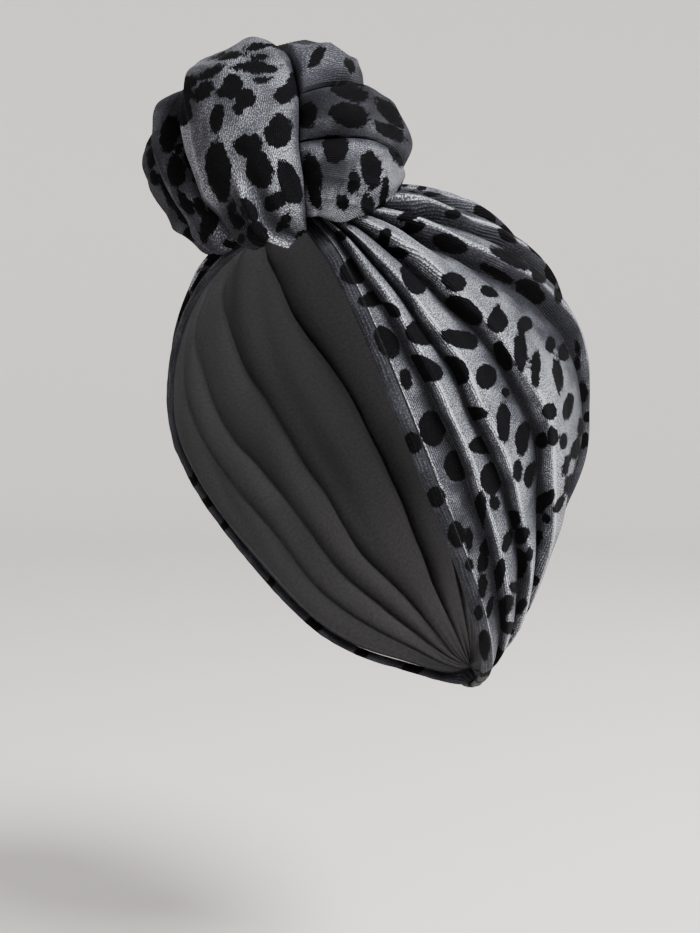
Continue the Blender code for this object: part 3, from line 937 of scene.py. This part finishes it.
def foldPlace(fold, across, length):
    # degrees away from the pinch and round it; loops run away from it, rolls round it
    if fold["loop"]:
        away = knot["near"] + (knot["far"] - knot["near"]) * length
        start = follow(creaseAways, creases[fold["first"]], away) + halfGap(away)
        end = follow(creaseAways, creases[fold["last"]], away) - halfGap(away)
        return away, start + (end - start) * across
    gap = math.degrees(knot["rollGap"] / knot["height"])
    low = follow(windingShares, windings[fold["first"]], length) + gap
    high = follow(windingShares, windings[fold["last"]], length) - gap if fold["last"] else knot["far"]
    away = low + (high - low) * across
    start = follow(creaseAways, creases["frontStart"], away) - halfGap(away)
    end = follow(creaseAways, creases["underEnd"], away) + halfGap(away) - 360
    return away, start + (end - start) * length


def lipHeight(across, away):
    if away >= lipAways[-1]:
        return 0.0
    beyond = across - follow(lipAways, lip["across"], away)
    ridge, under = bump(beyond, lip["width"]), smooth(*lip["fall"], beyond)
    return follow(lipAways, lip["rise"], away) * (lip["height"] * ridge - lip["under"] * under)


def laidFolds(fold, across, length):
    # each laid fold rises towards its edge and drops there to the next
    height, last = 0.0, 0.0
    for near, halfway, far, drop in fold["drops"]:
        edge = follow((0.0, 0.5, 1.0), (near, halfway, far), length)
        if last <= across <= edge:
            share = (across - last) / (edge - last)
            height = drop * share ** knot["laidRise"] * (1 - smooth(knot["laidEdge"], 1.0, share))
        last = edge
    return height


def softEdge(fold, across, length):
    # the crease between the two rolls dies away as they wind round
    if fold["name"] not in rollSeam["sides"]:
        return 0.0
    near = 1 - abs(across - rollSeam["sides"][fold["name"]])
    return rollSeam["loss"] * smooth(*rollSeam["reach"], length) * smooth(*rollSeam["near"], near)


def knotDetail(fold, across, length, away, turn):
    height = laidFolds(fold, across, length)
    if fold["name"] == "knotFrontLoop":
        sag = bump(away - knot["sagPlace"], knot["sagReach"])
        height += lipHeight(across, away) + knot["frontSag"] * sag
    if fold["name"] == "knotUnderLoop":
        height += tuck["depth"] * (smooth(*tuck["reach"], away) - 1) * smooth(0, 1, across)
    seed = 10 + len(fold["name"])
    inside = 1 - abs(2 * across - 1) ** knot["flatInside"]

    def waves(span, own):
        return ripple(turn / span[0], away / span[1], seed + own)

    height += knot["drag"] * inside * waves(knot["dragSpan"], 0)
    height += knot["crumple"] * inside * waves(knot["crumpleSpan"], 1)
    ridge = 1 - abs(waves(fold["ridge"], 3))
    height += fold["ridgeHeight"] * inside * (ridge ** 2 - 0.5)
    gather = 1 - smooth(*knot["gatherReach"], away)
    height += knot["gather"] * gather * inside * waves(knot["gatherSpan"], 2)
    return height


# the knot's painted light and shade, on the cap's scale; places and widths are shares of a fold's width
knotPaintedLight = {
    "shineAt": (0.0, 0.25, 1.0),    # shares of a fold's length that its three levels stand for
    "creases": (0.14, 0.1),         # how far the painted shade of the creases at its two sides reaches
    "inCrease": (0.45, 0.55),       # the painted shade level in them, and what is added outside
    "laidEdge": (0.25, 0.02, 0.03), # painted highlight along a laid fold's drop: added, how far before it, width
    "lipShade": (0.8, 0.05),        # painted shade under the lip: lost, and how soon
    "lipHollow": (0.6, 0.13, 0.06), # painted shade before the lip: lost, how far before it, width
    "lipEdge": (1.1, 0.01, 0.02),   # painted highlight on the lip's edge: added, how far before it, width
    "waver": (0.85, 0.3),
    "waverSpan": (3, 6),            # waves across a fold and along it
}


def foldPaintedShine(fold, across, length):
    # painted highlights along the folded edges, painted shade towards the creases and by the lip
    level = follow(knotPaintedLight["shineAt"], fold["paintedShine"], length)
    first, last = knotPaintedLight["creases"]
    edge = smooth(0.0, first, across) * smooth(0.0, last, 1 - across)

    def line(name, beyond):
        strength, before, width = knotPaintedLight[name]
        return strength * bump(beyond + before, width)

    for near, halfway, far, drop in fold["drops"]:
        level += line("laidEdge", across - follow((0.0, 0.5, 1.0), (near, halfway, far), length))
    if fold["name"] == "knotFrontLoop":
        away = foldPlace(fold, across, length)[0]
        beyond = across - follow(lipAways, lip["across"], away)
        rise = follow(lipAways, lip["rise"], away) if away < lipAways[-1] else 0.0
        loss, soon = knotPaintedLight["lipShade"]
        level *= 1 - rise * (loss * smooth(0.0, soon, beyond) + line("lipHollow", beyond))
        level += rise * line("lipEdge", beyond)
    plain, added = knotPaintedLight["waver"]
    wide, long = knotPaintedLight["waverSpan"]
    waver = plain + added * ripple(across * wide, length * long, 21)
    dark, clear = knotPaintedLight["inCrease"]
    return max(0.0, level * waver * (dark + clear * edge))


def makeKnotFold(fold, centre, finishes, draw):
    columns, rows = fold["columns"], knot["rows"]

    def faces(column, row):
        across, length = column / columns, row / rows
        away, turn = foldPlace(fold, across, length)
        sides = 1 - abs(2 * across - 1) ** fold["roundness"]
        ends = 1 - abs(2 * length - 1) ** knot["endRounding"]
        fade = smooth(*knot["fadeReach"], away) * bump(turn, knot["fadeWidth"])
        shallow = (1 - knot["creaseFade"] * fade) * (1 - softEdge(fold, across, length))
        depth = knot["creaseDepth"] * ((1 - sides * ends) * shallow - fold["swell"])
        direction = knotDirection(away, turn)
        depth += dentDepth(direction) - knotDetail(fold, across, length, away, turn)
        outer = knotPoint(centre, direction, depth)
        return outer, centre.lerp(outer, knot["core"])

    def clothPlace(column, row):
        # millimetres across the fold and along it
        across, length = column / columns, row / rows
        if not fold["loop"]:
            return (across - 0.5) * fold["span"], length * fold["run"]
        away = foldPlace(fold, across, length)[0]
        wide = (across - 0.5) * fold["span"] * clothDraw(away, *knot["drawnEnds"])
        return wide, math.radians(away) * knot["width"] * 500

    own = range(columns + 1)
    points = {(column, row): faces(column, row) for column in own for row in range(rows + 1)}
    cloth = ClothPrint(clothPlace)
    view = viewAxes()[2]

    def unseen(column, row):
        return (points[column, row][0] - centre).normalized().dot(view) < spotPrint["facing"]

    laySpots(fold["spots"], {fold["name"]: (cloth, own)}, points, rows, "knot", centre)
    cloth.scatter(own, range(rows + 1), spotPrint["knotRandom"], spotPrint["space"], draw, unseen)

    piece = layCloth(
        fold["name"], columns, rows, lambda column, row: points[column, row],
        lambda column, row, first: [part / decimetre for part in clothPlace(column, row)],
        lambda column, row, first: (cloth.at(column, row), foldPaintedShine(fold, column / columns, row / rows)),
        finishes, 0,
    )
    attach(piece, "root")
    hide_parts(fold["solid"])
    return piece


def makeKnot(finishes):
    centre = knotMiddle()
    draw = random.Random(spotPrint["seed"] + 1)
    for fold in knotFolds:
        makeKnotFold(fold, centre, finishes, draw)
    print("knot wound in", len(knotFolds), "folds")


# cloth finishes; scales are to a decimetre of cloth, and pairs go from the first to the second
velvet = {
    # the silver pile, at a painted shine of 1
    "silver": (0.056, 0.058, 0.073),
    # painted shade: the darkened silver where the painted shine is 0, in grooves and creases
    "paintedShade": (0.009, 0.0093, 0.0125),
    # painted glints and painted crest highlights on the silver
    "paintedGlint": (0.68, 0.715, 0.785),
    "black": (0.0018, 0.0018, 0.0024),
    # painted sheen on the black spots where the painted glints fall
    "paintedBlackSheen": (0.006, 0.006, 0.008),
    "reverse": (0.055, 0.055, 0.062),
    "reverseShade": 0.75,
    "reverseRough": 0.85,
    "reverseKnit": 60.0,
    "ribs": 0.0095,         # decimetres from one rib of the knit to the next
    "ribDrift": 0.012,
    "ribStrength": (0.08, 0.4),
    "threads": (185.0, 130.0, 1.0),
    "napScale": 7.0,
    "napShine": 0.12,
    "speckGrain": (0.50, 0.66),
    "speckLit": (0.25, 1.1),    # the painted shine over which the painted glints come up
    "speckDull": 0.03,      # what is left of it below
    "crestLit": (1.3, 2.1), # the painted shine over which a crest is painted pale all over, a painted highlight
    # how far the painted crest highlight goes towards the glint colour
    "paintedCrestPale": 0.42,
    "rough": (0.74, 0.42),
    "spotRough": 0.85,
    "relief": (0.6, 0.0005),    # strength, and height in metres
    "reverseRelief": (0.3, 0.0003),
    "specular": 0.05,
    "fibres": (230.0, 34.0, 1.0),
    "raggedScales": (13.0, 38.0, 1.0),  # lumps, tufts and fibres of a spot's edge
    "raggedSizes": (3.4, 2.6, 2.6),     # and how far each moves it, in millimetres
    "spotEdge": (0.12, 0.62),
    "capRagged": 0.42,
    "knotRagged": 0.8,
}


def addNode(tree, kind, inputs=None, **settings):
    made = tree.nodes.new(kind)
    for name, value in settings.items():
        setattr(made, name, value)
    for name, value in (inputs or {}).items():
        if isinstance(value, bpy.types.NodeSocket):
            tree.links.new(value, made.inputs[name])
        else:
            made.inputs[name].default_value = value
    return made


def maths(tree, operation, first, second=0.0):
    return addNode(tree, "ShaderNodeMath", {0: first, 1: second}, operation=operation).outputs[0]


def blendColour(tree, share, first, second):
    made = addNode(tree, "ShaderNodeMix", data_type="RGBA")
    for socket, value in ((made.inputs[0], share), (made.inputs[6], first), (made.inputs[7], second)):
        if isinstance(value, bpy.types.NodeSocket):
            tree.links.new(value, socket)
        else:
            socket.default_value = value
    return made.outputs[2]


def stretch(tree, value, low, high, first, second):
    # low to high becomes first to second
    inputs = {"Value": value, "From Min": low, "From Max": high, "To Min": first, "To Max": second}
    made = addNode(tree, "ShaderNodeMapRange", inputs, interpolation_type="SMOOTHSTEP")
    return made.outputs["Result"]


def newGroup(name, inputs, outputs):
    group = bpy.data.node_groups.new(name, "ShaderNodeTree")
    for label, kind in inputs:
        group.interface.new_socket(label, in_out="INPUT", socket_type=kind)
    for label, kind in outputs:
        group.interface.new_socket(label, in_out="OUTPUT", socket_type=kind)
    return group, group.nodes.new("NodeGroupInput"), group.nodes.new("NodeGroupOutput")


def noiseNode(tree, cloth, scale, detail, **more):
    inputs = {"Vector": cloth, "Scale": scale, "Detail": detail, **more}
    return addNode(tree, "ShaderNodeTexNoise", inputs).outputs["Fac"]


def leopardGroup():
    # the spots' ragged outlines, with feathered edges along the pile
    group, start, end = newGroup(
        "leopard spots",
        (
            ("Cloth", "NodeSocketVector"), ("To Spot", "NodeSocketFloat"),
            ("Raggedness", "NodeSocketFloat"),
        ),
        (("Spots", "NodeSocketFloat"), ),
    )
    cloth = start.outputs["Cloth"]
    stretched = {"Vector": cloth, "Scale": velvet["fibres"]}
    pile = addNode(group, "ShaderNodeMapping", stretched).outputs[0]
    scales, details = velvet["raggedScales"], (1.0, 2.0, 1.0)
    edge = start.outputs["To Spot"]
    for place, scale, detail, size in zip((cloth, cloth, pile), scales, details, velvet["raggedSizes"]):
        wander = maths(group, "SUBTRACT", noiseNode(group, place, scale, detail), 0.5)
        wander = maths(group, "MULTIPLY", wander, size)
        edge = maths(group, "ADD", edge, maths(group, "MULTIPLY", wander, start.outputs["Raggedness"]))
    group.links.new(stretch(group, edge, *velvet["spotEdge"], 1.0, 0.0), end.inputs["Spots"])
    return group


def pileGroup():
    # the short pile over its knit: fine ribs along the cloth, a grain that catches light through its relief
    # and is also painted as glints in the colour, and slow nap
    group, start, end = newGroup(
        "velvet pile",
        (("Cloth", "NodeSocketVector"), ("Ribs", "NodeSocketFloat")),
        (("Height", "NodeSocketFloat"), ("Grain", "NodeSocketFloat"), ("Nap", "NodeSocketFloat")),
    )
    cloth = start.outputs["Cloth"]
    across = addNode(group, "ShaderNodeSeparateXYZ", {"Vector": cloth}).outputs[0]
    drift = maths(group, "MULTIPLY", noiseNode(group, cloth, 9.0, 1.0), velvet["ribDrift"])
    turns = maths(group, "DIVIDE", maths(group, "ADD", across, drift), start.outputs["Ribs"])
    wave = maths(group, "SINE", maths(group, "MULTIPLY", turns, math.tau))
    where = stretch(group, noiseNode(group, cloth, 5.0, 1.0), 0.36, 0.62, *velvet["ribStrength"])
    ribs = maths(group, "MULTIPLY", wave, where)
    mapped = {"Vector": cloth, "Scale": velvet["threads"]}
    threads = addNode(group, "ShaderNodeMapping", mapped).outputs[0]
    grain = noiseNode(group, threads, 1.0, 2.0, Roughness=0.65)
    nap = noiseNode(group, cloth, velvet["napScale"], 3.0, Distortion=0.4)
    height = maths(group, "ADD", ribs, maths(group, "MULTIPLY", grain, 1.6))
    specks = maths(group, "ADD", grain, maths(group, "MULTIPLY", ribs, 0.22))
    for made, output in ((height, "Height"), (specks, "Grain"), (nap, "Nap")):
        group.links.new(made, end.inputs[output])
    return group


def rgba(colour):
    return (*colour, 1.0)


def newFinish(name):
    finish = bpy.data.materials.new(name)
    finish.use_nodes = True
    return finish, finish.node_tree, finish.node_tree.nodes["Principled BSDF"]


def addRelief(tree, shader, height, strength, distance):
    inputs = {"Strength": strength, "Distance": distance, "Height": height}
    tree.links.new(addNode(tree, "ShaderNodeBump", inputs).outputs["Normal"], shader.inputs["Normal"])


def velvetFinish(name, raggedness, groups):
    # silver pile with black spots; painted shade, painted highlights and painted glints are mixed into its
    # colour by the painted shine
    finish, tree, shader = newFinish(name)
    cloth = addNode(tree, "ShaderNodeUVMap", uv_map="cloth").outputs["UV"]
    toSpot = addNode(tree, "ShaderNodeAttribute", attribute_name="toSpot").outputs["Fac"]
    paintedShine = addNode(tree, "ShaderNodeAttribute", attribute_name="paintedShine").outputs["Fac"]
    spots = addNode(tree, "ShaderNodeGroup", node_tree=groups["spots"])
    pile = addNode(tree, "ShaderNodeGroup", node_tree=groups["pile"])
    tree.links.new(cloth, spots.inputs["Cloth"])
    tree.links.new(toSpot, spots.inputs["To Spot"])
    spots.inputs["Raggedness"].default_value = raggedness
    tree.links.new(cloth, pile.inputs["Cloth"])
    pile.inputs["Ribs"].default_value = velvet["ribs"]
    nap = stretch(tree, pile.outputs["Nap"], 0.3, 0.7, -velvet["napShine"], velvet["napShine"])
    lit = maths(tree, "ADD", paintedShine, nap)
    # painted shade: the silver darkens towards the painted shade colour where the painted shine is low
    tone = stretch(tree, lit, 0.0, 1.0, 0.0, 1.0)
    silver = blendColour(tree, tone, rgba(velvet["paintedShade"]), rgba(velvet["silver"]))
    # painted glints, which come up only where the painted shine is high
    paintedGlint = stretch(tree, lit, *velvet["speckLit"], velvet["speckDull"], 1.0)
    specks = stretch(tree, pile.outputs["Grain"], *velvet["speckGrain"], 0.0, 1.0)
    specks = maths(tree, "MULTIPLY", specks, paintedGlint)
    # painted highlight over the brightest crests
    paintedCrests = stretch(tree, lit, *velvet["crestLit"], 0.0, velvet["paintedCrestPale"])
    specks = maths(tree, "MAXIMUM", specks, paintedCrests)
    silver = blendColour(tree, specks, silver, rgba(velvet["paintedGlint"]))
    # painted sheen on the black spots
    black = blendColour(tree, specks, rgba(velvet["black"]), rgba(velvet["paintedBlackSheen"]))
    colour = blendColour(tree, spots.outputs["Spots"], silver, black)
    tree.links.new(colour, shader.inputs["Base Color"])
    rough = stretch(tree, pile.outputs["Grain"], 0.35, 0.7, *velvet["rough"])
    dull = maths(tree, "MULTIPLY", spots.outputs["Spots"], velvet["spotRough"])
    tree.links.new(maths(tree, "MAXIMUM", rough, dull), shader.inputs["Roughness"])
    addRelief(tree, shader, pile.outputs["Height"], *velvet["relief"])
    shader.inputs["Specular IOR Level"].default_value = velvet["specular"]
    return finish


def reverseFinish():
    # the dull knitted back of the cloth, seen in the hollow
    finish, tree, shader = newFinish("velvet reverse")
    cloth = addNode(tree, "ShaderNodeUVMap", uv_map="cloth").outputs["UV"]
    knit = noiseNode(tree, cloth, velvet["reverseKnit"], 3.0)
    tone = stretch(tree, knit, 0.3, 0.7, 0.0, 1.0)
    dark = rgba([part * velvet["reverseShade"] for part in velvet["reverse"]])
    tree.links.new(blendColour(tree, tone, dark, rgba(velvet["reverse"])), shader.inputs["Base Color"])
    addRelief(tree, shader, knit, *velvet["reverseRelief"])
    shader.inputs["Roughness"].default_value = velvet["reverseRough"]
    return finish


# the plain set round it, and the camera at the photograph's angle
studio = {
    "azimuth": 48,
    "elevation": 3,
    "distance": 0.60,
    "lens": 52,
    "sensor": 36,
    "picture": (700, 933),
    "aimRight": -0.0135,
    "aimUp": -0.117,
    "floor": -0.36,
    "radius": 2.6,
    "roundSteps": 96,
    "cove": 0.7,
    "coveSteps": 12,
    "wallTop": 2.0,
    "pale": (0.85, 0.825, 0.795),
    "paleRough": 0.9,
    "ambient": 0.6,
    "ambientColour": (0.95, 0.97, 1.0, 1),
    "lights": (             # metres right, up and towards the camera; watts, size, colour
        ("windowLight", (1.0, 1.2, 0.75), 84, 0.8, (1.0, 0.99, 0.97)),
        ("warmFill", (-1.2, -0.2, 1.0), 4, 1.0, (1.0, 0.86, 0.76)),
    ),
}


def makeStage():
    # a round floor that curves up into its wall
    mesh = bmesh.new()
    radius, cove, floor = studio["radius"], studio["cove"], studio["floor"]
    profile = [Vector((0, 0, floor)), Vector((radius - cove, 0, floor))]
    for step in range(1, studio["coveSteps"] + 1):
        turn = math.radians(90 * step / studio["coveSteps"])
        out, up = cove * math.sin(turn), cove * (1 - math.cos(turn))
        profile.append(Vector((radius - cove + out, 0, floor + up)))
    profile.append(Vector((radius, 0, studio["wallTop"])))
    verts = [mesh.verts.new(point) for point in profile]
    edges = [mesh.edges.new(pair) for pair in zip(verts, verts[1:])]
    bmesh.ops.spin(
        mesh, geom=verts + edges, cent=(0, 0, 0), axis=(0, 0, 1),
        angle=math.tau, steps=studio["roundSteps"], use_merge=True,
    )
    bmesh.ops.remove_doubles(mesh, verts=mesh.verts[:], dist=0.0001)
    bmesh.ops.recalc_face_normals(mesh, faces=mesh.faces[:])
    paint, _, shader = newFinish("pale plaster")
    shader.inputs["Base Color"].default_value = rgba(studio["pale"])
    shader.inputs["Roughness"].default_value = studio["paleRough"]
    finishPiece("paleRoom", mesh, [paint])


def viewAxes():
    # right, up and back towards the camera
    azimuth, elevation = math.radians(studio["azimuth"]), math.radians(studio["elevation"])
    back = Vector((math.sin(azimuth), -math.cos(azimuth), 0)) * math.cos(elevation)
    back.z = math.sin(elevation)
    right = Vector((math.cos(azimuth), math.sin(azimuth), 0))
    return right, back.cross(right), back


def aimPoint():
    right, up, back = viewAxes()
    return right * studio["aimRight"] + up * studio["aimUp"]


def addLight(name, offset, power, size, colour):
    right, up, back = viewAxes()
    place = right * offset[0] + up * offset[1] + back * offset[2] + middle
    data = bpy.data.lights.new(name, "AREA")
    data.shape = "DISK"
    data.size = size
    data.energy = power
    data.color = colour
    lamp = bpy.data.objects.new(name, data)
    bpy.context.scene.collection.objects.link(lamp)
    lamp.location = place
    lamp.rotation_euler = (place - middle).to_track_quat("Z", "Y").to_euler()


def makeStudio():
    makeStage()
    for light in studio["lights"]:
        addLight(*light)
    world = bpy.data.worlds.new("soft room")
    bpy.context.scene.world = world
    world.use_nodes = True
    air = world.node_tree.nodes["Background"].inputs
    air["Color"].default_value = studio["ambientColour"]
    air["Strength"].default_value = studio["ambient"]
    back = viewAxes()[2]
    data = bpy.data.cameras.new("photoCamera")
    data.lens = studio["lens"]
    camera = bpy.data.objects.new("photoCamera", data)
    bpy.context.scene.collection.objects.link(camera)
    camera.location = aimPoint() + back * studio["distance"]
    camera.rotation_euler = back.to_track_quat("Z", "Y").to_euler()
    bpy.context.scene.camera = camera
    print("room, lights and camera set")


def main():
    makeStudio()
    groups = {"spots": leopardGroup(), "pile": pileGroup()}
    reverse = reverseFinish()
    capVelvet = velvetFinish("cap velvet", velvet["capRagged"], groups)
    knotVelvet = velvetFinish("knot velvet", velvet["knotRagged"], groups)
    wrap = makeCap([capVelvet, reverse])
    band = makeHem([capVelvet])
    makeKnot([knotVelvet, reverse])


main()
